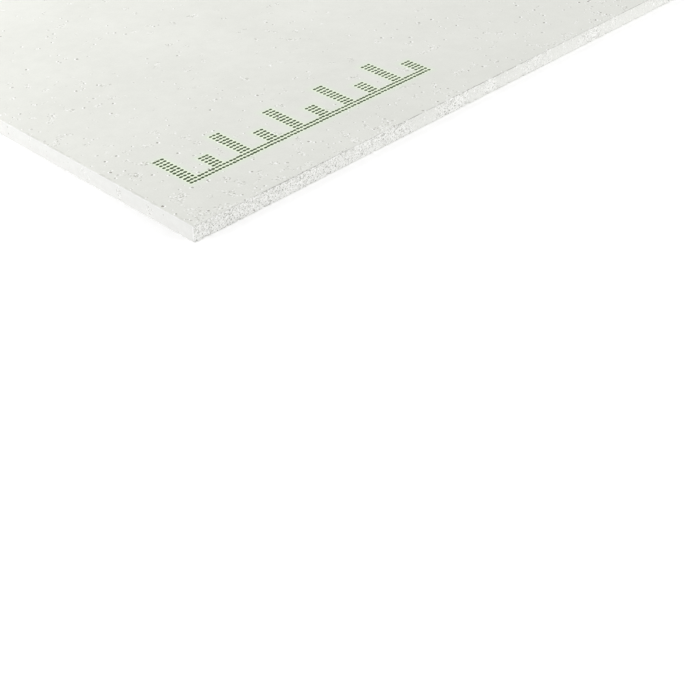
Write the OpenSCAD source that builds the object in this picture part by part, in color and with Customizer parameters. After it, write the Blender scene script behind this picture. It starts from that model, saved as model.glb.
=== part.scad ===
// Gypsum fibreboard drywall sheet: one pressed and sanded slab, sawn square on all four sides.
// Millimetres. The sheet lies flat with its face up; the origin is under its middle.

/* [Sheet] */
// Length of the long edges, along X
sheet_length = 1500; // [600:10:3000]
// Width, the length of the short edges, along Y
sheet_width = 1000; // [400:10:1250]
// Thickness of the slab, along Z
sheet_thickness = 12.5; // [9:0.5:25]

/* [Edges] */
// Set-back of the sanded arris that breaks every sharp edge
arris = 0.5; // [0.2:0.1:3]

/* [Hidden] */
// Off-white of gypsum with paper fibre
board_colour = "#E2E3DD";

// Rectangle centred on the origin, with its corners clipped at 45 degrees
module clipped_rectangle(along, across, clip) {
    x = along / 2;
    y = across / 2;
    polygon([
        [x - clip, -y], [x, clip - y],
        [x, y - clip], [x - clip, y],
        [clip - x, y], [-x, y - clip],
        [-x, clip - y], [clip - x, -y]
    ]);
}

// The slab is what its plan, its long section and its cross section have in common,
// so the arris runs along all twelve edges.
module drywall_sheet() {
    color(board_colour)
        intersection() {
            linear_extrude(sheet_thickness)
                clipped_rectangle(sheet_length, sheet_width, arris);

            translate([0, sheet_width / 2, sheet_thickness / 2])
                rotate([90, 0, 0])
                    linear_extrude(sheet_width)
                        clipped_rectangle(sheet_length, sheet_thickness, arris);

            translate([-sheet_length / 2, 0, sheet_thickness / 2])
                rotate([90, 0, 90])
                    linear_extrude(sheet_length)
                        clipped_rectangle(sheet_width, sheet_thickness, arris);
        }
}

drywall_sheet();
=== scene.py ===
# Drywall sheet: the looks of one gypsum fibreboard slab, lying face up on a white studio floor.
# The slab's finish, its sawn and trimmed edges and the ink of a plain edge scale ride on the CAD sheet.

import math

import bpy
import numpy as np
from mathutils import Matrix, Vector, noise


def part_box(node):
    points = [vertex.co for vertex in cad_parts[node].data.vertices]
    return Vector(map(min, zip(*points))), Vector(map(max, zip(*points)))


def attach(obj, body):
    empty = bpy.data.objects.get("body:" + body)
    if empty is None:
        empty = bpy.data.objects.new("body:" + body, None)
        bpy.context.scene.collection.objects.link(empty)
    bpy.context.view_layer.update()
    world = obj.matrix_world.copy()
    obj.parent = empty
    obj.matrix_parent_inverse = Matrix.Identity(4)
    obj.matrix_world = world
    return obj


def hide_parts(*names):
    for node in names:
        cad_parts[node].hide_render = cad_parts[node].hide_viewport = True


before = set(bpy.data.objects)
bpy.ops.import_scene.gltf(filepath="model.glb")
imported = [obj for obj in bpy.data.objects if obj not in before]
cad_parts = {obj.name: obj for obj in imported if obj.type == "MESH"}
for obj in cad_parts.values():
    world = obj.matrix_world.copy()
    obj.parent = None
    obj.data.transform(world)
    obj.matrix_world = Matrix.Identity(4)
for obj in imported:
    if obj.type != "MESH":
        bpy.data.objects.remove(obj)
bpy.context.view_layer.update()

# Lengths below are in millimetres, unless a comment says metres, and meshes are scaled when they are made
MM = 0.001
SHEET = "drywall_sheet"
sheet_low, sheet_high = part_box(SHEET)
LENGTH = (sheet_high.x - sheet_low.x) / MM
WIDTH = (sheet_high.y - sheet_low.y) / MM
THICKNESS = (sheet_high.z - sheet_low.z) / MM

# The photograph's camera, found from the lines of the sheet's edges
IMAGE_SIZE = 696
SENSOR_WIDTH = 36.0
LENS = 79.69
HEADING_DEG = 45.85
PITCH_DEG = 36.06
CORNER_PIXEL = (194.78, 243.35)
CORNER_DEPTH = 987.4

# How near and how far the camera sees, in metres
CLIP_START = 0.01
CLIP_END = 100.0

# The slab's mesh: the arris is the sanded break of the sharp edge, and the steps run along the edges
ARRIS = 0.5
CORNER_LEAST = 0.05 * ARRIS
LONG_STEP = 0.8
SHORT_STEP = 4.0
CORNER_TURNS = (22.5, 45.0, 67.5)
RIM_INSETS = (4.0, 1.2)
EDGE_ROWS = 12
FACE_CELL = 30.0

# Noise in the mesh: how its octaves fade, how much finer each one is and how many there are
PATCH_OCTAVES = (0.8, 2.0, 2)
GRAIN_OCTAVES = (0.8, 2.0, 3)

# Where the saw has torn the long edges: the mesh attribute, the patches' size and start, how they gather at
# the ends, and how sharply they begin
TORN = "torn"
TORN_PATCH = 20.0
TORN_START = 880.0
TORN_END = 300.0
TORN_LEVEL = 0.2
TORN_LEAST = 0.2
TORN_MIDDLE = 0.5
TORN_CONTRAST = 1.6

# Relief of a sawn edge, all of it cut into the slab: grains, and pits where their noise is above a level
SAWN_GRAIN_SIZE = 2.2
SAWN_GRAIN_DEPTH = 0.14
SAWN_PIT_SIZE = 2.6
SAWN_PIT_DEPTH = 0.4
SAWN_PIT_START = 40.0
SAWN_PIT_LEVEL = 0.35

# The faint wave on a trimmed edge
WAVE_LENGTH = 9.0
WAVE_HEIGHT = 5.0
WAVE_DEPTH = 0.03

# Nicks along the arrises: their depth at the face and the underside, the two layers of their noise, the level
# above which it cuts, how far they reach down an edge, and their share at the face's rim and on trimmed edges
FACE_CHIP = 0.8
UNDER_CHIP = 4.0
CHIP_MOST = 1.3
CHIP_SIZE = 3.6
CHIP_FINE_SIZE = 1.6
CHIP_FINE_SHARE = 0.9
CHIP_FACE_START = 50.0
CHIP_FINE_START = 9.0
CHIP_LEVEL = 0.25
CHIP_REACH = 2.0
CHIP_AT_RIM = 0.7
TRIMMED_CHIPS = 0.2

# The printed edge scale: a base line and ticks made of ink-jet dots
SCALE_START = (36.0, 43.0)
DOT_PITCH = (3.2, 3.5)
DOT_SIZE = (3.05, 2.25)
DOT_SIDES = 14
TICK_COUNT = 10
TICK_SPACING = 8
TICK_COLUMNS = 3
BASE_ROWS = 2
TALL_ROWS = 12
SHORT_ROWS = 7

# A dot's section: how far it is proud and sunk, its width at the foot and the top, and its shoulder's height
DOT_PROUD = 0.03
DOT_SUNK = 0.02
DOT_FOOT = 0.96
DOT_TOP = 0.8
DOT_SHOULDER = 0.3

# How unevenly the dots are printed
INK_SEED = 11
DOT_SHIFT = 0.1
DOT_UNEVEN = 0.05

# Linear colours
FACE_LIGHT = (0.80, 0.807, 0.761, 1)
FACE_DARK = (0.735, 0.742, 0.696, 1)
# The next two colours also paint the shade in the face's pits and the highlight beside each
SPECK_DARK = (0.26, 0.25, 0.21, 1)
SPECK_PALE = (0.97, 0.97, 0.95, 1)
# The next colour also paints light along the sawn edges' foot
SAWN_BRIGHT = (1.0, 1.0, 0.98, 1)
SAWN_MIDDLE = (0.79, 0.796, 0.758, 1)
# The next colour also paints shade along the sawn edges' arrises
SAWN_DARK = (0.42, 0.42, 0.395, 1)
# The next colour is painted shade in the sawn edges' open pores
SAWN_PORE = (0.30, 0.29, 0.27, 1)
TRIMMED_LIGHT = (0.84, 0.842, 0.82, 1)
# The next colour also paints shade near the trimmed edges' top
TRIMMED_DARK = (0.785, 0.787, 0.765, 1)
# The next colour paints a highlight on the trimmed edges' arrises and corners, and light along their foot
TRIMMED_HIGHLIGHT = (0.97, 0.97, 0.96, 1)
INK_DARK = (0.025, 0.047, 0.009, 1)
INK_THIN = (0.07, 0.115, 0.03, 1)
INK_BLEED = (0.86, 0.945, 0.75, 1)
INK_STAIN = (0.74, 0.81, 0.685, 1)
FLOOR_MATT = (0.9, 0.9, 0.9, 1)
WHITE = (1, 1, 1, 1)

# Kinds of noise in the materials: how many finer layers it has, and how strong they are
PLAIN_NOISE = (2.0, 0.5)
SOFT_NOISE = (1.0, 0.5)
GRAIN_NOISE = (1.0, 0.6)
FINE_NOISE = (2.0, 0.6)
CLOUDY_NOISE = (3.0, 0.6)
INK_NOISE = (3.0, 0.65)
BROKEN_NOISE = (3.0, 0.7)

# The levels between which most of a noise lies
NOISE_SPAN = (0.3, 0.7)

# Places of a mix node's sockets for colours
MIX_FIRST = 6
MIX_SECOND = 7
MIX_RESULT = 2

# Spots: they fade between these shares of the smallest radius, are mostly small, and are this strong at least
SPOT_FADE = (-0.1, 0.5)
SPOT_SKEW = 2.0
SPOT_FAINTEST = 0.4

# How softly a grain of torn gypsum fades into its ground, as a share of the noise's range
GRAIN_SOFTNESS = 0.12

# Size of the noise that makes spots uneven, and how far it moves their rims
SPECK_UNEVEN = (1.1, 0.9)
GRAIN_UNEVEN = (0.8, 0.5)


# Camera

def camera_axes():
    heading = math.radians(HEADING_DEG)
    pitch = math.radians(PITCH_DEG)
    ahead = Vector((math.sin(heading), math.cos(heading), 0))
    forward = ahead * math.cos(pitch) - Vector((0, 0, math.sin(pitch)))
    right = Vector((math.cos(heading), -math.sin(heading), 0))
    return right, right.cross(forward), forward


def make_camera():
    """The camera that sees the sheet's near corner at its pixel and depth in the photograph"""
    right, up, forward = camera_axes()
    focal_pixels = LENS / SENSOR_WIDTH * IMAGE_SIZE
    across = (CORNER_PIXEL[0] - IMAGE_SIZE / 2) / focal_pixels
    down = (CORNER_PIXEL[1] - IMAGE_SIZE / 2) / focal_pixels
    corner = Vector((sheet_low.x, sheet_low.y, sheet_low.z))
    ray = forward + right * across - up * down
    data = bpy.data.cameras.new("camera")
    data.lens = LENS
    data.sensor_width = SENSOR_WIDTH
    data.clip_start = CLIP_START
    data.clip_end = CLIP_END
    camera = bpy.data.objects.new("camera", data)
    camera.location = corner - ray * CORNER_DEPTH * MM
    camera.rotation_mode = "QUATERNION"
    camera.rotation_quaternion = forward.to_track_quat("-Z", "Y")
    bpy.context.scene.collection.objects.link(camera)
    bpy.context.scene.camera = camera


# Shader nodes

def node(tree, kind, inputs=None, **settings):
    """Adds a node; an input that is a socket is linked, and any other is set"""
    made = tree.nodes.new(kind)
    for name, value in settings.items():
        setattr(made, name, value)
    for key, value in (inputs or {}).items():
        if isinstance(value, bpy.types.NodeSocket):
            tree.links.new(value, made.inputs[key])
        else:
            made.inputs[key].default_value = value
    return made


def maths(tree, operation, *values):
    return node(tree, "ShaderNodeMath", dict(enumerate(values)), operation=operation).outputs[0]


def plus(tree, first, second):
    return maths(tree, "ADD", first, second)


def minus(tree, first, second):
    return maths(tree, "SUBTRACT", first, second)


def times(tree, first, second):
    return maths(tree, "MULTIPLY", first, second)


def most(tree, first, second):
    return maths(tree, "MAXIMUM", first, second)


def weighted(tree, values, weights):
    """The sum of the values, each times its weight"""
    total = times(tree, values[0], weights[0])
    for value, weight in zip(values[1:], weights[1:]):
        total = plus(tree, total, times(tree, value, weight))
    return total


def spread(tree, value, levels, to=(0.0, 1.0)):
    """Takes one pair of levels smoothly to the other, and holds it there outside"""
    wanted = {"Value": value, "From Min": levels[0], "From Max": levels[1], "To Min": to[0], "To Max": to[1]}
    return node(tree, "ShaderNodeMapRange", wanted, interpolation_type="SMOOTHSTEP").outputs["Result"]


def band(tree, value, levels, soft):
    """1 between the levels, fading to 0 over soft on either side"""
    low, high = levels
    rise = spread(tree, value, (low - soft, low))
    fall = spread(tree, value, (high, high + soft), (1.0, 0.0))
    return times(tree, rise, fall)


def mix(tree, factor, first, second):
    wanted = {"Factor": factor, MIX_FIRST: first, MIX_SECOND: second}
    return node(tree, "ShaderNodeMix", wanted, data_type="RGBA").outputs[MIX_RESULT]


def noise_outputs(tree, place, size, kind):
    detail, roughness = kind
    wanted = {"Vector": place, "Scale": 1 / (size * MM), "Detail": detail, "Roughness": roughness}
    return node(tree, "ShaderNodeTexNoise", wanted).outputs


def clouds(tree, place, size, kind=PLAIN_NOISE):
    """Noise from 0 to 1, with features of about this size in millimetres"""
    return noise_outputs(tree, place, size, kind)["Fac"]


def random_cells(tree, place, cell):
    """Cells of about this size: the distance to a cell's middle, and the cell's three chances from 0 to 1"""
    wanted = {"Vector": place, "Scale": 1 / (cell * MM), "Randomness": 1.0}
    cells = node(tree, "ShaderNodeTexVoronoi", wanted, voronoi_dimensions="2D")
    chances = node(tree, "ShaderNodeSeparateColor", {"Color": cells.outputs["Color"]}).outputs
    return cells.outputs["Distance"], chances


def spots(tree, place, cell, share, radii):
    """Mask of spots of different radius and strength, one at most in each cell, on a share of the cells"""
    smallest, largest = radii
    distance, chances = random_cells(tree, place, cell)
    there = maths(tree, "LESS_THAN", chances["Red"], share)
    skewed = maths(tree, "POWER", chances["Green"], SPOT_SKEW)
    reach = maths(tree, "MULTIPLY_ADD", skewed, (largest - smallest) / cell, smallest / cell)
    inside = minus(tree, reach, distance)
    mask = spread(tree, inside, [fade * smallest / cell for fade in SPOT_FADE])
    strength = spread(tree, chances["Blue"], (0.0, 1.0), (SPOT_FAINTEST, 1.0))
    return times(tree, times(tree, mask, there), strength)


def grains(tree, place, pattern):
    """Masks of the dark and the pale grains of torn gypsum. A pattern is the grains' size and the levels of
    noise below which they are dark and above which they are pale"""
    size, dark_below, pale_above = pattern
    level = clouds(tree, place, size, GRAIN_NOISE)
    dark = spread(tree, level, (dark_below, dark_below - GRAIN_SOFTNESS))
    pale = spread(tree, level, (pale_above, pale_above + GRAIN_SOFTNESS))
    return dark, pale


def object_place(tree):
    return node(tree, "ShaderNodeTexCoord").outputs["Object"]


def axes(tree, place):
    return node(tree, "ShaderNodeSeparateXYZ", {"Vector": place}).outputs


def from_middle(tree, place, axis):
    """Distance from the sheet's middle along an axis"""
    return maths(tree, "ABSOLUTE", axes(tree, place)[axis])


def in_from(rim, depths):
    """Levels in metres that lie this deep inside a rim"""
    return [(rim - depth) * MM for depth in depths]


def up_from_floor(heights):
    return [height * MM for height in heights]


def shifted(tree, place, shift):
    across, deep = shift
    wanted = {0: place, 1: (across * MM, deep * MM, 0)}
    return node(tree, "ShaderNodeVectorMath", wanted, operation="ADD").outputs[0]


def upright(tree, place, first):
    """Turns a place on an upright edge into a flat one: along the edge, then height"""
    parts = axes(tree, place)
    wanted = {"X": parts[first], "Y": parts["Z"], "Z": 0.0}
    return node(tree, "ShaderNodeCombineXYZ", wanted).outputs[0]


def roughened(tree, place, uneven):
    """The place, moved about by noise, so that spots aren't perfect discs"""
    size, amount = uneven
    colour = noise_outputs(tree, place, size, PLAIN_NOISE)["Color"]
    centred = node(tree, "ShaderNodeVectorMath", {0: colour, 1: (0.5, 0.5, 0.5)}, operation="SUBTRACT")
    wanted = {0: centred.outputs[0], "Scale": amount * MM}
    moved = node(tree, "ShaderNodeVectorMath", wanted, operation="SCALE")
    return node(tree, "ShaderNodeVectorMath", {0: place, 1: moved.outputs[0]}, operation="ADD").outputs[0]


def torn_here(tree):
    return node(tree, "ShaderNodeAttribute", attribute_name=TORN).outputs["Fac"]


def new_material(name):
    material = bpy.data.materials.new(name)
    material.use_nodes = True
    material.node_tree.nodes.clear()
    return material, material.node_tree


def finish_surface(tree, colour, roughness, height, bump, specular):
    """A bump is its depth and its strength"""
    depth, strength = bump
    relief = node(tree, "ShaderNodeBump", {"Height": height, "Distance": depth * MM, "Strength": strength})
    wanted = {
        "Base Color": colour,
        "Roughness": roughness,
        "Specular IOR Level": specular,
        "Normal": relief.outputs["Normal"],
    }
    surface = node(tree, "ShaderNodeBsdfPrincipled", wanted)
    node(tree, "ShaderNodeOutputMaterial", {"Surface": surface.outputs["BSDF"]})


# Material of the face

# How far the ink creeps out of the print: as a bright bleed between the dots, and as a faint stain around
BLEED_REACH = 1.3
BLEED_STRENGTH = (0.7, 1.0)
STAIN_REACH = 7.0
STAIN_STRENGTH = 0.6


def dots_across(count, axis):
    """How far a run of dots reaches, in metres"""
    return ((count - 1) * DOT_PITCH[axis] + DOT_SIZE[axis]) * MM


def print_bleed(tree, place, reach):
    """Where ink has crept into the face, between the dots of the edge scale and this far around them"""
    parts = axes(tree, place)
    left = (SCALE_START[0] - LENGTH / 2 - DOT_SIZE[0] / 2) * MM
    bottom = (SCALE_START[1] - WIDTH / 2 - DOT_SIZE[1] / 2) * MM
    along = minus(tree, parts["X"], left)
    up = minus(tree, parts["Y"], bottom)
    soft = reach * MM
    spacing = TICK_SPACING * DOT_PITCH[0] * MM
    tick_width = dots_across(TICK_COLUMNS, 0)
    run = (TICK_COUNT - 1) * spacing + tick_width
    mask = band(tree, up, (0.0, dots_across(BASE_ROWS, 1)), soft)
    for rows, offset in ((TALL_ROWS, 0.0), (SHORT_ROWS, spacing)):
        here = maths(tree, "WRAP", minus(tree, along, offset), -spacing, spacing)
        across_tick = band(tree, here, (0.0, tick_width), soft)
        up_tick = band(tree, up, (0.0, dots_across(rows, 1)), soft)
        mask = most(tree, mask, times(tree, across_tick, up_tick))
    return times(tree, mask, band(tree, along, (0.0, run), soft))


# How far in from a short and a long rim the face is worn
SHORT_RIM_WEAR = 55.0
LONG_RIM_WEAR = 34.0


def rim_wear(tree, place):
    """How worn the face is: about 0 far inside, 1 at a rim and 2 in a corner"""
    wear = []
    for axis, size, reach in (("X", LENGTH, SHORT_RIM_WEAR), ("Y", WIDTH, LONG_RIM_WEAR)):
        outward = minus(tree, from_middle(tree, place, axis), size / 2 * MM)
        wear.append(maths(tree, "EXPONENT", maths(tree, "DIVIDE", outward, reach * MM)))
    return plus(tree, wear[0], wear[1])


# Pits gather in clouds: the clouds' size and levels, the most of their share of cells, how that grows with
# wear, and the share that wear adds everywhere
SPECK_CLOUD = 30.0
SPECK_LEVELS = (0.46, 0.68)
SPECK_MOST = 0.15
SPECKS_INSIDE = 0.28
SPECKS_AT_RIM = 1.2
SPECKS_EVERYWHERE = 0.065


def speck_share(tree, place, wear):
    """The share of cells that hold a pit: they gather in clouds, and along the rims"""
    gathered = spread(tree, clouds(tree, place, SPECK_CLOUD), SPECK_LEVELS, (0.0, SPECK_MOST))
    gathered = times(tree, gathered, plus(tree, times(tree, wear, SPECKS_AT_RIM), SPECKS_INSIDE))
    return plus(tree, gathered, times(tree, wear, SPECKS_EVERYWHERE))


# Radii of a pit's painted shade and of the painted highlight on one side of it, and for each of two sets of
# pits the cells' size and where the highlights lie
PIT_RADII = (0.4, 1.15)
HIGHLIGHT_RADII = (0.9, 1.7)
PIT_SETS = ((4.2, (0.7, -0.3)), (5.3, (-0.6, 0.6)))
PIT_SHADE = 0.9


def pits(tree, place, share):
    """Painted shade in small pits of the face, and the painted highlight that each has on one side"""
    shade_masks = []
    highlight_masks = []
    for cell, lean in PIT_SETS:
        shade_masks.append(spots(tree, place, cell, share, PIT_RADII))
        highlight_masks.append(spots(tree, shifted(tree, place, lean), cell, share, HIGHLIGHT_RADII))
    return most(tree, *shade_masks), most(tree, *highlight_masks)


# Torn flecks: their patches' size and levels, how much more there are at a rim, and the grains in them
FLECK_PATCH = 10.0
FLECK_LEVELS = (0.645, 0.755)
FLECKS_AT_RIM = 0.08
FLECK_PATTERN = (1.3, 0.43, 0.55)
FLECK_SHADE = 0.6


def torn_flecks(tree, place, wear):
    """Patches where the sanding has torn the fibre: dark and pale grains side by side"""
    level = plus(tree, clouds(tree, place, FLECK_PATCH, SOFT_NOISE), times(tree, wear, FLECKS_AT_RIM))
    patch = spread(tree, level, FLECK_LEVELS)
    dark, pale = grains(tree, place, FLECK_PATTERN)
    return times(tree, patch, dark), times(tree, patch, pale)


# The line of dust along a short rim: how far in it lies, the size and levels of its gaps, and its strength
DUST_IN = (2.2, 1.2)
DUST_GAP = 8.0
DUST_LEVELS = (0.4, 0.6)
DUST_MOST = 0.2


def rim_line(tree, place):
    """A faint broken line of dust along the face's two short rims"""
    line = spread(tree, from_middle(tree, place, "X"), in_from(LENGTH / 2, DUST_IN))
    gaps = clouds(tree, place, DUST_GAP, BROKEN_NOISE)
    return times(tree, line, spread(tree, gaps, DUST_LEVELS, (0.0, DUST_MOST)))


# Tears along a long rim: how far in they reach, how torn the edge is there, and their grains
TEAR_IN = (4.5, 0.5)
TORN_WORST = (0.6, 0.95)
TEAR_PATTERN = (1.0, 0.37, 0.5)
TEAR_PALE = 0.4


def rim_tears(tree, place):
    """Sparse dark grains among pale ones on the face along its long rims, where the saw has torn them"""
    close = spread(tree, from_middle(tree, place, "Y"), in_from(WIDTH / 2, TEAR_IN))
    reach = times(tree, close, spread(tree, torn_here(tree), TORN_WORST))
    dark, pale = grains(tree, place, TEAR_PATTERN)
    return times(tree, dark, reach), times(tree, times(tree, pale, reach), TEAR_PALE)


# The face's clouds, their weights in its tone and the tones that are dark and light
FACE_BROAD = 55.0
FACE_MIDDLING = 9.0
FACE_FINE = 1.4
FACE_WEIGHTS = (0.3, 0.3, 0.28)
FACE_TONE = (0.26, 0.62)
FACE_ROUGHNESS = (0.7, 0.82)
FACE_BUMP = (0.12, 0.35)
FACE_SPECULAR = 0.25


def face_material():
    """Sanded gypsum with paper fibre: cloudy off-white, with torn flecks and gathered pits, each pit painted
    as shade with a painted highlight on one side
    """
    material, tree = new_material("sanded_face")
    place = object_place(tree)
    broad = clouds(tree, place, FACE_BROAD, CLOUDY_NOISE)
    middling = clouds(tree, place, FACE_MIDDLING, CLOUDY_NOISE)
    fine = clouds(tree, place, FACE_FINE, FINE_NOISE)
    tone = weighted(tree, (broad, middling, fine), FACE_WEIGHTS)
    colour = mix(tree, spread(tree, tone, FACE_TONE), FACE_DARK, FACE_LIGHT)
    stain = times(tree, print_bleed(tree, place, STAIN_REACH), STAIN_STRENGTH)
    colour = mix(tree, stain, colour, INK_STAIN)
    soaked = spread(tree, fine, NOISE_SPAN, BLEED_STRENGTH)
    bleed = times(tree, print_bleed(tree, place, BLEED_REACH), soaked)
    colour = mix(tree, bleed, colour, INK_BLEED)
    colour = mix(tree, rim_line(tree, place), colour, SPECK_DARK)
    uneven = roughened(tree, place, SPECK_UNEVEN)
    wear = rim_wear(tree, place)
    pit_shade_mask, pit_highlight_mask = pits(tree, uneven, speck_share(tree, place, wear))
    fleck_dark, fleck_pale = torn_flecks(tree, uneven, wear)
    tear_dark, tear_pale = rim_tears(tree, place)
    dark = most(tree, fleck_dark, tear_dark)
    pale = most(tree, fleck_pale, tear_pale)
    # Painted highlights beside the pits, with the pale grains of torn flecks and tears
    colour = mix(tree, most(tree, pit_highlight_mask, pale), colour, SPECK_PALE)
    # Painted shade in the pits, with the dark grains of torn flecks and tears
    shade = most(tree, times(tree, pit_shade_mask, PIT_SHADE), times(tree, dark, FLECK_SHADE))
    colour = mix(tree, shade, colour, SPECK_DARK)
    roughness = spread(tree, middling, NOISE_SPAN, FACE_ROUGHNESS)
    finish_surface(tree, colour, roughness, minus(tree, fine, shade), FACE_BUMP, FACE_SPECULAR)
    return material


# Material of the sawn long edges

# Painted shade along the arrises, as of shadowed nicks: its depth and its strength at the foot, the size and
# levels of its gaps, of its grit and of the runs in which it comes and goes, and how it thins out towards the
# corners
LINE_DEPTH = (0.75, 0.5)
LINE_AT_FOOT = 0.2
LINE_GAP = 7.0
LINE_LEVELS = (0.35, 0.55)
GRIT_SIZE = 1.8
GRIT_LEVELS = (0.42, 0.56)
GRIT_STRENGTH = (0.45, 1.4)
RUN_SIZE = 25.0
RUN_LEVELS = (0.4, 0.6)
RUN_STRENGTH = (0.45, 1.3)
LINE_END_IN = (32.0, 14.0)
LINE_END_STRENGTH = (1.0, 0.25)


def arris_shade(tree, place, torn):
    """Painted shade along the arrises of a sawn edge, as of shadowed nicks, in a broken line that is gritty
    where the edge is torn
    """
    line = spread(tree, clouds(tree, place, LINE_GAP, BROKEN_NOISE), LINE_LEVELS)
    gritty = spread(tree, clouds(tree, place, GRIT_SIZE, FINE_NOISE), GRIT_LEVELS, GRIT_STRENGTH)
    smooth = spread(tree, torn, TORN_WORST, (1.0, 0.0))
    line = times(tree, line, most(tree, gritty, smooth))
    line = times(tree, line, spread(tree, clouds(tree, place, RUN_SIZE), RUN_LEVELS, RUN_STRENGTH))
    ends = in_from(LENGTH / 2, LINE_END_IN)
    line = times(tree, line, spread(tree, from_middle(tree, place, "X"), ends, LINE_END_STRENGTH))
    height = axes(tree, place)["Z"]
    top = spread(tree, height, in_from(THICKNESS, LINE_DEPTH))
    foot = spread(tree, height, up_from_floor(LINE_DEPTH), (0.0, LINE_AT_FOOT))
    return times(tree, most(tree, top, foot), line)


# The sawn edge's grains, how much its foot is lightened with painted light against the shade near the floor,
# its bright flakes, its open pores with their painted shade, and how dark the painted shade along its arrises
# is
SAWN_FINE = 0.6
SAWN_PATTERN = (0.87, 0.415, 0.48)
SAWN_FOOT_LIGHT = 0.3
FLAKE_SHIFT = (5.0, 3.0)
FLAKE_CELL = 2.9
FLAKE_SHARE = 0.32
FLAKE_RADII = (0.6, 1.05)
PORE_CELL = 2.4
PORE_SHARE = 0.4
PORE_RADII = (0.3, 0.65)
PORE_SHADE = 0.9
LINE_SHADE = 0.82
SAWN_ROUGHNESS = (0.75, 0.9)
SAWN_BUMP = (0.2, 0.7)
SAWN_SPECULAR = 0.2


def sawn_material():
    """Sawn long edge: smooth in places, and torn in others to pale and dark grains with open pores; with
    painted shade in the pores and along the arrises, and painted light towards the foot
    """
    material, tree = new_material("sawn_edge")
    place = object_place(tree)
    torn = torn_here(tree)
    uneven = roughened(tree, upright(tree, place, "X"), GRAIN_UNEVEN)
    fine = clouds(tree, place, SAWN_FINE, FINE_NOISE)
    dark, bright = grains(tree, place, SAWN_PATTERN)
    # Painted light: lighter towards the foot, against the shade that falls near the floor
    foot_light = spread(tree, axes(tree, place)["Z"], (THICKNESS * MM, 0.0), (0.0, SAWN_FOOT_LIGHT))
    colour = mix(tree, foot_light, SAWN_MIDDLE, SAWN_BRIGHT)
    colour = mix(tree, times(tree, bright, torn), colour, SAWN_BRIGHT)
    colour = mix(tree, times(tree, dark, torn), colour, SAWN_DARK)
    flakes = spots(tree, shifted(tree, uneven, FLAKE_SHIFT), FLAKE_CELL, FLAKE_SHARE, FLAKE_RADII)
    colour = mix(tree, flakes, colour, SAWN_BRIGHT)
    # Painted shade in the open pores
    pores = times(tree, spots(tree, uneven, PORE_CELL, PORE_SHARE, PORE_RADII), torn)
    colour = mix(tree, times(tree, pores, PORE_SHADE), colour, SAWN_PORE)
    # Painted shade along the arrises, as of shadowed nicks
    colour = mix(tree, times(tree, arris_shade(tree, place, torn), LINE_SHADE), colour, SAWN_DARK)
    relief = times(tree, minus(tree, fine, most(tree, dark, pores)), torn)
    roughness = spread(tree, fine, NOISE_SPAN, SAWN_ROUGHNESS)
    finish_surface(tree, colour, roughness, relief, SAWN_BUMP, SAWN_SPECULAR)
    return material


# Material of the trimmed short edges

# Painted light: a highlight along the top arris and at the two ends, and a lighter band along the foot
# against the shade near the floor. How deep it lies at the top, the foot and the two ends, and how strong it
# is on which levels
TOP_HIGHLIGHT_DEPTH = (0.95, 0.7)
TOP_HIGHLIGHT_LEVELS = (0.4, 0.6)
TOP_HIGHLIGHT_STRENGTH = (0.05, 0.55)
FOOT_LIGHT_HEIGHT = (2.0, 0.8)
FOOT_LIGHT_MOST = 0.18
END_HIGHLIGHT_IN = (1.3, 0.5)
END_HIGHLIGHT_SOFT = 0.5
END_HIGHLIGHT_LEVELS = (0.3, 0.6)
END_HIGHLIGHT_STRENGTH = (0.4, 0.9)


def painted_light(tree, place, middling, fine):
    """Painted light on a trimmed edge: a highlight in patches along the top arris and at both ends, and a
    faint lighter band along the foot against the shade near the floor
    """
    height = axes(tree, place)["Z"]
    top = spread(tree, height, in_from(THICKNESS, TOP_HIGHLIGHT_DEPTH))
    top = times(tree, top, spread(tree, middling, TOP_HIGHLIGHT_LEVELS, TOP_HIGHLIGHT_STRENGTH))
    foot = spread(tree, height, up_from_floor(FOOT_LIGHT_HEIGHT), (0.0, FOOT_LIGHT_MOST))
    end = band(tree, from_middle(tree, place, "Y"), in_from(WIDTH / 2, END_HIGHLIGHT_IN), END_HIGHLIGHT_SOFT * MM)
    end = times(tree, end, spread(tree, fine, END_HIGHLIGHT_LEVELS, END_HIGHLIGHT_STRENGTH))
    return most(tree, most(tree, top, foot), end)


# The trimmed edge's clouds and tones, the painted shade that darkens it near its top, and its specks
TRIMMED_MIDDLING = 6.0
TRIMMED_FINE = 0.9
TRIMMED_WEIGHTS = (0.6, 0.4)
TRIMMED_TONE = (0.32, 0.68)
TOP_SHADE_DEPTH = (6.0, 1.0)
TOP_SHADE_MOST = 0.7
TRIMMED_CELL = 5.0
TRIMMED_SHARE = 0.2
TRIMMED_RADII = (0.3, 0.8)
TRIMMED_WEAR = 0.7
TRIMMED_SHADE = 0.5
TRIMMED_ROUGHNESS = (0.6, 0.75)
TRIMMED_BUMP = (0.15, 0.4)
TRIMMED_SPECULAR = 0.3


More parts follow.
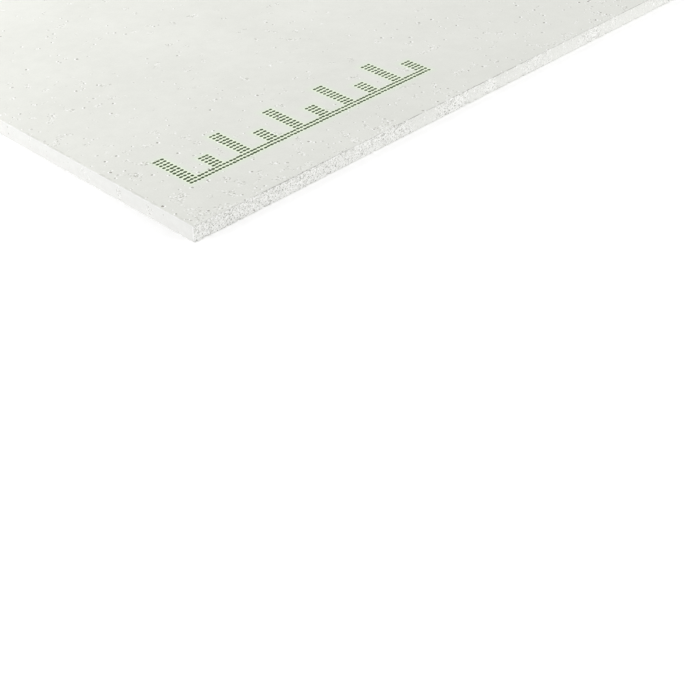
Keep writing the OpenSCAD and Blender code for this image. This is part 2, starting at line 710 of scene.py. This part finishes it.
def trimmed_material():
    """Trimmed short edge: cut clean, with few specks, painted shade near its top, and painted light along its
    top arris, its ends and its foot
    """
    material, tree = new_material("trimmed_edge")
    place = object_place(tree)
    middling = clouds(tree, place, TRIMMED_MIDDLING, CLOUDY_NOISE)
    fine = clouds(tree, place, TRIMMED_FINE, FINE_NOISE)
    tone = weighted(tree, (middling, fine), TRIMMED_WEIGHTS)
    colour = mix(tree, spread(tree, tone, TRIMMED_TONE), TRIMMED_DARK, TRIMMED_LIGHT)
    # Painted shade: darker towards the top, where more light falls on the edge
    top_shade = spread(tree, axes(tree, place)["Z"], in_from(THICKNESS, TOP_SHADE_DEPTH), (0.0, TOP_SHADE_MOST))
    colour = mix(tree, top_shade, colour, TRIMMED_DARK)
    uneven = roughened(tree, upright(tree, place, "Y"), SPECK_UNEVEN)
    specks = spots(tree, uneven, TRIMMED_CELL, TRIMMED_SHARE, TRIMMED_RADII)
    fleck_dark, fleck_pale = torn_flecks(tree, place, TRIMMED_WEAR)
    dark = most(tree, specks, fleck_dark)
    colour = mix(tree, fleck_pale, colour, SPECK_PALE)
    colour = mix(tree, times(tree, dark, TRIMMED_SHADE), colour, SPECK_DARK)
    # Painted highlight along the top arris and at the upright corners, and painted light along the foot
    colour = mix(tree, painted_light(tree, place, middling, fine), colour, TRIMMED_HIGHLIGHT)
    roughness = spread(tree, middling, NOISE_SPAN, TRIMMED_ROUGHNESS)
    finish_surface(tree, colour, roughness, minus(tree, fine, dark), TRIMMED_BUMP, TRIMMED_SPECULAR)
    return material


# Material of the ink

INK_CLOUD = 1.6
INK_LEVELS = (0.45, 0.75)
INK_ROUGHNESS = (0.6, 0.8)
INK_BUMP = (0.05, 0.3)
INK_SPECULAR = 0.3


def ink_material():
    """Ink soaked into the face: thin in places"""
    material, tree = new_material("print_ink")
    soaked = clouds(tree, object_place(tree), INK_CLOUD, INK_NOISE)
    colour = mix(tree, spread(tree, soaked, INK_LEVELS), INK_DARK, INK_THIN)
    roughness = spread(tree, soaked, NOISE_SPAN, INK_ROUGHNESS)
    finish_surface(tree, colour, roughness, soaked, INK_BUMP, INK_SPECULAR)
    return material


# The slab's mesh

# The direction of each side, and the zones of the face and the underside, which follow the sides' own
SIDE_ALONG = ((1, 0), (0, 1), (-1, 0), (0, -1))
FACE_ZONE = 4
UNDER_ZONE = 5


def side_sizes(side):
    """Half the side's length, its distance from the middle and its number of steps"""
    if side % 2 == 0:
        return LENGTH / 2, WIDTH / 2, round(LENGTH / LONG_STEP)
    return WIDTH / 2, LENGTH / 2, round(WIDTH / SHORT_STEP)


def outline(inset):
    """Points round the sheet seen from above, moved in by inset, with their outward normals, their side
    and how far round they are, where each side counts 1. The corners belong to the long sides"""
    radius = max(ARRIS - inset, CORNER_LEAST)
    points, normals, sides, turns = [], [], [], []
    for side, along in enumerate(SIDE_ALONG):
        along = np.array(along, float)
        outward = np.array((along[1], -along[0]))
        half, away, steps = side_sizes(side)
        straight = half - inset - radius
        for step in range(steps + 1):
            share = step / steps
            points.append(along * straight * (2 * share - 1) + outward * (away - inset))
            normals.append(outward)
            sides.append(side)
            turns.append(side + share)
        centre = along * straight + outward * (away - inset - radius)
        for degrees in CORNER_TURNS:
            angle = math.radians(degrees)
            normal = outward * math.cos(angle) + along * math.sin(angle)
            points.append(centre + normal * radius)
            normals.append(normal)
            sides.append((side + side % 2) % len(SIDE_ALONG))
            turns.append(side + 1.0)
    return np.array(points), np.array(normals), np.array(sides), np.array(turns)


def edge_profile():
    """Rows from the face's rim over the edge to the underside's rim, each with its set-back, its height and
    how near it is to an arris, from 0 to 1"""
    break_in = ARRIS * (1 - math.cos(math.pi / 4))
    upper = [(inset, 0.0, 0.0) for inset in RIM_INSETS]
    upper += [(ARRIS, 0.0, CHIP_AT_RIM), (break_in, break_in, 1.0)]
    middle = []
    for row in range(EDGE_ROWS + 1):
        drop = ARRIS + (THICKNESS - 2 * ARRIS) * row / EDGE_ROWS
        near = max(0.0, 1 - (min(drop, THICKNESS - drop) - ARRIS) / CHIP_REACH)
        middle.append((0.0, drop, near))
    lower = [(inset, THICKNESS - drop, near) for inset, drop, near in reversed(upper)]
    return [(inset, THICKNESS - drop, near) for inset, drop, near in upper + middle + lower]


def clamped(value):
    return min(1.0, max(0.0, value))


def centred(value):
    """Takes noise between -1 and 1 to between 0 and 1"""
    return 0.5 + 0.5 * value


def torn_share(x, y, z):
    """How badly the saw has torn a long edge, from 0 to 1: in patches, which run together near the ends"""
    to_end = clamped((abs(x) - (LENGTH / 2 - TORN_END)) / TORN_END)
    along = x + TORN_START
    patch = noise.fractal((along / TORN_PATCH, y / TORN_PATCH, z / TORN_PATCH), *PATCH_OCTAVES)
    rise = clamped(TORN_MIDDLE + TORN_CONTRAST * (patch - TORN_LEVEL + to_end))
    return TORN_LEAST + (1 - TORN_LEAST) * rise


def sawn_depth(x, y, z):
    """How deep the saw and the torn grains have cut at a place on a long edge"""
    size = SAWN_GRAIN_SIZE
    grain = centred(noise.fractal((x / size, y / size, z / size), *GRAIN_OCTAVES))
    size = SAWN_PIT_SIZE
    level = noise.noise((x / size, y / size + SAWN_PIT_START, z / size))
    pit = max(0.0, level - SAWN_PIT_LEVEL) / (1 - SAWN_PIT_LEVEL)
    return torn_share(x, y, z) * (SAWN_GRAIN_DEPTH * max(0.0, grain) + SAWN_PIT_DEPTH * pit)


def trimmed_depth(x, y, z):
    """The short edges were cut clean, so only a faint wave is left"""
    return WAVE_DEPTH * centred(noise.noise((x / WAVE_LENGTH, y / WAVE_LENGTH, z / WAVE_HEIGHT)))


def chip_depth(x, y, z):
    """Small nicks along an arris"""
    under = z < THICKNESS / 2
    start = 0.0 if under else CHIP_FACE_START
    wave = noise.noise((x / CHIP_SIZE, y / CHIP_SIZE, start))
    fine = noise.noise((x / CHIP_FINE_SIZE, y / CHIP_FINE_SIZE, start + CHIP_FINE_START))
    depth = UNDER_CHIP if under else FACE_CHIP
    return min(CHIP_MOST, depth * max(0.0, wave + CHIP_FINE_SHARE * fine - CHIP_LEVEL))


def cut_in(points, normals, height, near, on_edge):
    """How far each point of a row is cut in from the outline"""
    cuts = np.zeros(len(points))
    for i, (x, y) in enumerate(points):
        sawn = abs(normals[i][1])
        if on_edge:
            cuts[i] = sawn * sawn_depth(x, y, height) + (1 - sawn) * trimmed_depth(x, y, height)
        if near > 0:
            chips = TRIMMED_CHIPS + (1 - TRIMMED_CHIPS) * sawn
            cuts[i] += near * chips * chip_depth(x, y, height)
    return cuts


def zip_loops(outer, outer_turns, inner, inner_turns):
    """Triangles between two loops, walked round together"""
    whole = len(SIDE_ALONG)
    faces = []
    i = 0
    j = 0
    while i < len(outer) or j < len(inner):
        next_outer = outer_turns[i + 1] if i + 1 < len(outer) else whole + (i >= len(outer))
        next_inner = inner_turns[j + 1] if j + 1 < len(inner) else whole + (j >= len(inner))
        here = outer[i % len(outer)]
        across = inner[j % len(inner)]
        if next_outer <= next_inner:
            faces.append((here, outer[(i + 1) % len(outer)], across))
            i += 1
        else:
            faces.append((here, inner[(j + 1) % len(inner)], across))
            j += 1
    return faces


def face_grid(first, height):
    """Even cells over the middle of a face: its points, its quads and the loop round them"""
    inset = RIM_INSETS[0] + FACE_CELL / 2
    across = round(LENGTH / FACE_CELL)
    deep = round(WIDTH / FACE_CELL)
    xs = np.linspace(inset - LENGTH / 2, LENGTH / 2 - inset, across + 1)
    ys = np.linspace(inset - WIDTH / 2, WIDTH / 2 - inset, deep + 1)
    points = [(x, y, height) for y in ys for x in xs]
    index = first + np.arange(len(points)).reshape(deep + 1, across + 1)
    quads = []
    for j in range(deep):
        for i in range(across):
            quads.append((index[j, i], index[j, i + 1], index[j + 1, i + 1], index[j + 1, i]))
    sides = (index[0, :], index[:, -1], index[-1, ::-1], index[::-1, 0])
    loop = [v for side in sides for v in side[:-1]]
    turns = [k + n / (len(side) - 1) for k, side in enumerate(sides) for n in range(len(side) - 1)]
    return points, quads, loop, turns


def sheet_mesh():
    """The slab as one closed mesh. The zones of its edges are their sides"""
    rows = edge_profile()
    _, normals, sides, turns = outline(0.0)
    count = len(sides)
    vertices = []
    for inset, height, near in rows:
        points = outline(inset)[0]
        cuts = cut_in(points, normals, height, near, inset < ARRIS)
        moved = points - normals * cuts[:, None]
        vertices += [(x, y, height) for x, y in moved]
    faces = []
    zones = []
    rim = len(RIM_INSETS) + 1
    for row in range(len(rows) - 1):
        for i in range(count):
            j = (i + 1) % count
            faces.append((row * count + i, (row + 1) * count + i, (row + 1) * count + j, row * count + j))
            if row < rim:
                zones.append(FACE_ZONE)
            elif row >= len(rows) - 1 - rim:
                zones.append(UNDER_ZONE)
            else:
                zones.append(sides[i])
    last = (len(rows) - 1) * count
    for zone, height, first in ((FACE_ZONE, THICKNESS, 0), (UNDER_ZONE, 0.0, last)):
        points, quads, loop, loop_turns = face_grid(len(vertices), height)
        vertices += points
        patch = quads + zip_loops(range(first, first + count), turns, loop, loop_turns)
        if zone == UNDER_ZONE:
            patch = [face[::-1] for face in patch]
        faces += patch
        zones += [zone] * len(patch)
    return np.array(vertices), faces, np.array(zones)


# Where each zone lies on the map that a bake uses: left, bottom, width and height
MAP_FACE = (0.005, 0.005, 0.99, 0.655)
MAP_UNDER = (0.005, 0.745, 0.99, 0.25)
MAP_EDGE = (0.005, 0.665, 0.99, 0.016)
MAP_EDGE_STEP = 0.019


def map_place(zone, point):
    """The place on the bake's map of a point in a zone"""
    along = point[0] / LENGTH + 0.5
    across = point[1] / WIDTH + 0.5
    if zone in (FACE_ZONE, UNDER_ZONE):
        left, bottom, wide, tall = MAP_FACE if zone == FACE_ZONE else MAP_UNDER
        return left + wide * along, bottom + tall * across
    left, bottom, wide, tall = MAP_EDGE
    run = along if zone % 2 == 0 else across
    return left + wide * run, bottom + MAP_EDGE_STEP * zone + tall * point[2] / THICKNESS


def add_bake_map(mesh, vertices, zones):
    layer = mesh.uv_layers.new(name="OFBake")
    places = np.zeros((len(mesh.loops), 2), np.float32)
    for polygon in mesh.polygons:
        for loop in polygon.loop_indices:
            places[loop] = map_place(zones[polygon.index], vertices[mesh.loops[loop].vertex_index])
    layer.uv.foreach_set("vector", places.ravel())


def new_piece(name, vertices, faces, smooth):
    mesh = bpy.data.meshes.new(name)
    mesh.from_pydata((np.array(vertices) * MM).tolist(), [], faces)
    mesh.polygons.foreach_set("use_smooth", np.full(len(faces), smooth))
    piece = bpy.data.objects.new(name, mesh)
    bpy.context.scene.collection.objects.link(piece)
    return piece


def make_sheet():
    vertices, faces, zones = sheet_mesh()
    piece = new_piece("fibreboard_sheet", vertices, faces, True)
    for material in (face_material(), sawn_material(), trimmed_material()):
        piece.data.materials.append(material)
    slots = np.where(zones >= FACE_ZONE, 0, 1 + zones % 2)
    piece.data.polygons.foreach_set("material_index", slots.astype(np.int32))
    add_bake_map(piece.data, vertices, zones)
    torn = piece.data.attributes.new(TORN, "FLOAT", "POINT")
    torn.data.foreach_set("value", [torn_share(*vertex) for vertex in vertices])
    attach(piece, "root")
    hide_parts(SHEET)


# The printed edge scale

def scale_dots():
    """Column and row of every dot: a base line, and ticks that are tall and short by turns"""
    columns = (TICK_COUNT - 1) * TICK_SPACING + TICK_COLUMNS
    dots = [(column, row) for row in range(BASE_ROWS) for column in range(columns)]
    for tick in range(TICK_COUNT):
        rows = SHORT_ROWS if tick % 2 else TALL_ROWS
        for column in range(TICK_COLUMNS):
            dots += [(tick * TICK_SPACING + column, row) for row in range(BASE_ROWS, rows)]
    return dots


def make_print():
    """Each dot is a low closed drop of ink, sunk a little into the face"""
    random = np.random.default_rng(INK_SEED)
    vertices = []
    faces = []
    angles = np.arange(DOT_SIDES) * 2 * math.pi / DOT_SIDES
    rings = ((DOT_FOOT, -DOT_SUNK), (1.0, DOT_SHOULDER * DOT_PROUD), (DOT_TOP, DOT_PROUD))
    for column, row in scale_dots():
        shift = random.normal(0, DOT_SHIFT, 2)
        size = random.normal(1, DOT_UNEVEN, 2)
        x = SCALE_START[0] - LENGTH / 2 + column * DOT_PITCH[0] + shift[0]
        y = SCALE_START[1] - WIDTH / 2 + row * DOT_PITCH[1] + shift[1]
        first = len(vertices)
        for width, rise in rings:
            for angle in angles:
                across = math.cos(angle) * DOT_SIZE[0] / 2 * width * size[0]
                deep = math.sin(angle) * DOT_SIZE[1] / 2 * width * size[1]
                vertices.append((x + across, y + deep, THICKNESS + rise))
        faces.append([first + i for i in reversed(range(DOT_SIDES))])
        for ring in range(len(rings) - 1):
            low = first + ring * DOT_SIDES
            high = low + DOT_SIDES
            for i in range(DOT_SIDES):
                j = (i + 1) % DOT_SIDES
                faces.append((low + i, low + j, high + j, high + i))
        faces.append([first + (len(rings) - 1) * DOT_SIDES + i for i in range(DOT_SIDES)])
    piece = new_piece("printed_edge_scale", vertices, faces, False)
    piece.data.materials.append(ink_material())
    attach(piece, "root")


# The studio

# Half the floor's width
FLOOR_HALF = 30000.0

# Two distances from the sheet's middle, in metres, and how strongly the floor is lifted to white at each
FLOOR_AWAY = (0.9, 2.0)
FLOOR_LIFT = (0.32, 0.55)

# The strip of floor beside the left edge that is lifted less: how much less, and in from the edge where it
# starts and fades away (outside the edge counts below 0), and in from the sheet's ends where it stops
STRIP_LESS = 0.16
STRIP_START = (0.5, -0.5)
STRIP_FADE = (-2.0, -25.0)
STRIP_END = (12.0, 0.0)

# The world's light on surfaces, and its level where it is seen
WORLD_LIGHT = 0.567
WORLD_SEEN = 1.0

# Lamps: the name, the place, the point that it faces and the side, all in metres, and the power in watts
LAMPS = (
    ("left_softbox", (-1.34, -0.27, 0.26), (-0.75, -0.27, 0), 0.48, 2.03),
    ("right_softbox", (-0.10, -1.74, 0.27), (-0.10, -0.5, 0), 0.48, 6.33),
    ("top_softbox", (-0.56, 0.27, 0.72), (-0.45, -0.25, 0), 0.60, 2.30),
    ("back_softbox", (1.22, 0.52, 1.29), (0.4, 0.1, 0), 0.71, 13.0),
    ("side_fill", (-0.89, -0.07, 0.38), (-0.75, 0.30, 0), 0.38, 0.24),
)


def seen_straight(tree):
    """1 for the eye and for what shows in gloss and glass, and 0 for light on its way to a matt surface"""
    paths = node(tree, "ShaderNodeLightPath").outputs
    seen = most(tree, paths["Is Camera Ray"], paths["Is Glossy Ray"])
    return most(tree, seen, paths["Is Transmission Ray"])


def strip_less(tree, place):
    """How much less the floor is lifted beside the left edge, where the left lamp lights it well"""
    to_left = times(tree, axes(tree, place)["X"], -1.0)
    outside = spread(tree, to_left, in_from(LENGTH / 2, STRIP_START))
    close = spread(tree, to_left, in_from(LENGTH / 2, STRIP_FADE), (STRIP_LESS, 0.0))
    beside = spread(tree, from_middle(tree, place, "Y"), in_from(WIDTH / 2, STRIP_END), (1.0, 0.0))
    return times(tree, times(tree, outside, close), beside)


def floor_material():
    """Matt white, lifted to plain white for the eye and for reflections, with the shadow kept. The lift grows
    away from the sheet, where less of the lamps' light falls"""
    material, tree = new_material("studio_floor")
    matt = node(tree, "ShaderNodeBsdfDiffuse", {"Color": FLOOR_MATT})
    place = object_place(tree)
    away = node(tree, "ShaderNodeVectorMath", {0: place}, operation="LENGTH").outputs["Value"]
    strength = minus(tree, spread(tree, away, FLOOR_AWAY, FLOOR_LIFT), strip_less(tree, place))
    strength = times(tree, strength, seen_straight(tree))
    lift = node(tree, "ShaderNodeEmission", {"Color": WHITE, "Strength": strength})
    both = node(tree, "ShaderNodeAddShader", {0: matt.outputs[0], 1: lift.outputs[0]})
    node(tree, "ShaderNodeOutputMaterial", {"Surface": both.outputs[0]})
    return material


def make_floor():
    half = FLOOR_HALF
    corners = [(-half, -half, 0), (half, -half, 0), (half, half, 0), (-half, half, 0)]
    floor = new_piece("floor", corners, [(0, 1, 2, 3)], False)
    floor.data.materials.append(floor_material())


def make_lamp(name, place, aim, size, power):
    data = bpy.data.lights.new(name, "AREA")
    data.shape = "SQUARE"
    data.size = size
    data.energy = power
    lamp = bpy.data.objects.new(name, data)
    lamp.location = place
    lamp.visible_camera = False
    lamp.rotation_mode = "QUATERNION"
    lamp.rotation_quaternion = (Vector(aim) - Vector(place)).to_track_quat("-Z", "Y")
    bpy.context.scene.collection.objects.link(lamp)


def make_world():
    """Even light from all round, and plain white where it is seen"""
    world = bpy.data.worlds.new("studio")
    world.use_nodes = True
    tree = world.node_tree
    tree.nodes.clear()
    light = node(tree, "ShaderNodeBackground", {"Color": WHITE, "Strength": WORLD_LIGHT})
    seen = node(tree, "ShaderNodeBackground", {"Color": WHITE, "Strength": WORLD_SEEN})
    wanted = {"Fac": seen_straight(tree), 1: light.outputs[0], 2: seen.outputs[0]}
    both = node(tree, "ShaderNodeMixShader", wanted)
    node(tree, "ShaderNodeOutputWorld", {"Surface": both.outputs[0]})
    bpy.context.scene.world = world


def make_studio():
    make_floor()
    make_world()
    for lamp in LAMPS:
        make_lamp(*lamp)


def main():
    bpy.context.scene.view_settings.view_transform = "Standard"
    make_camera()
    make_sheet()
    make_print()
    make_studio()
    bpy.context.view_layer.update()


main()
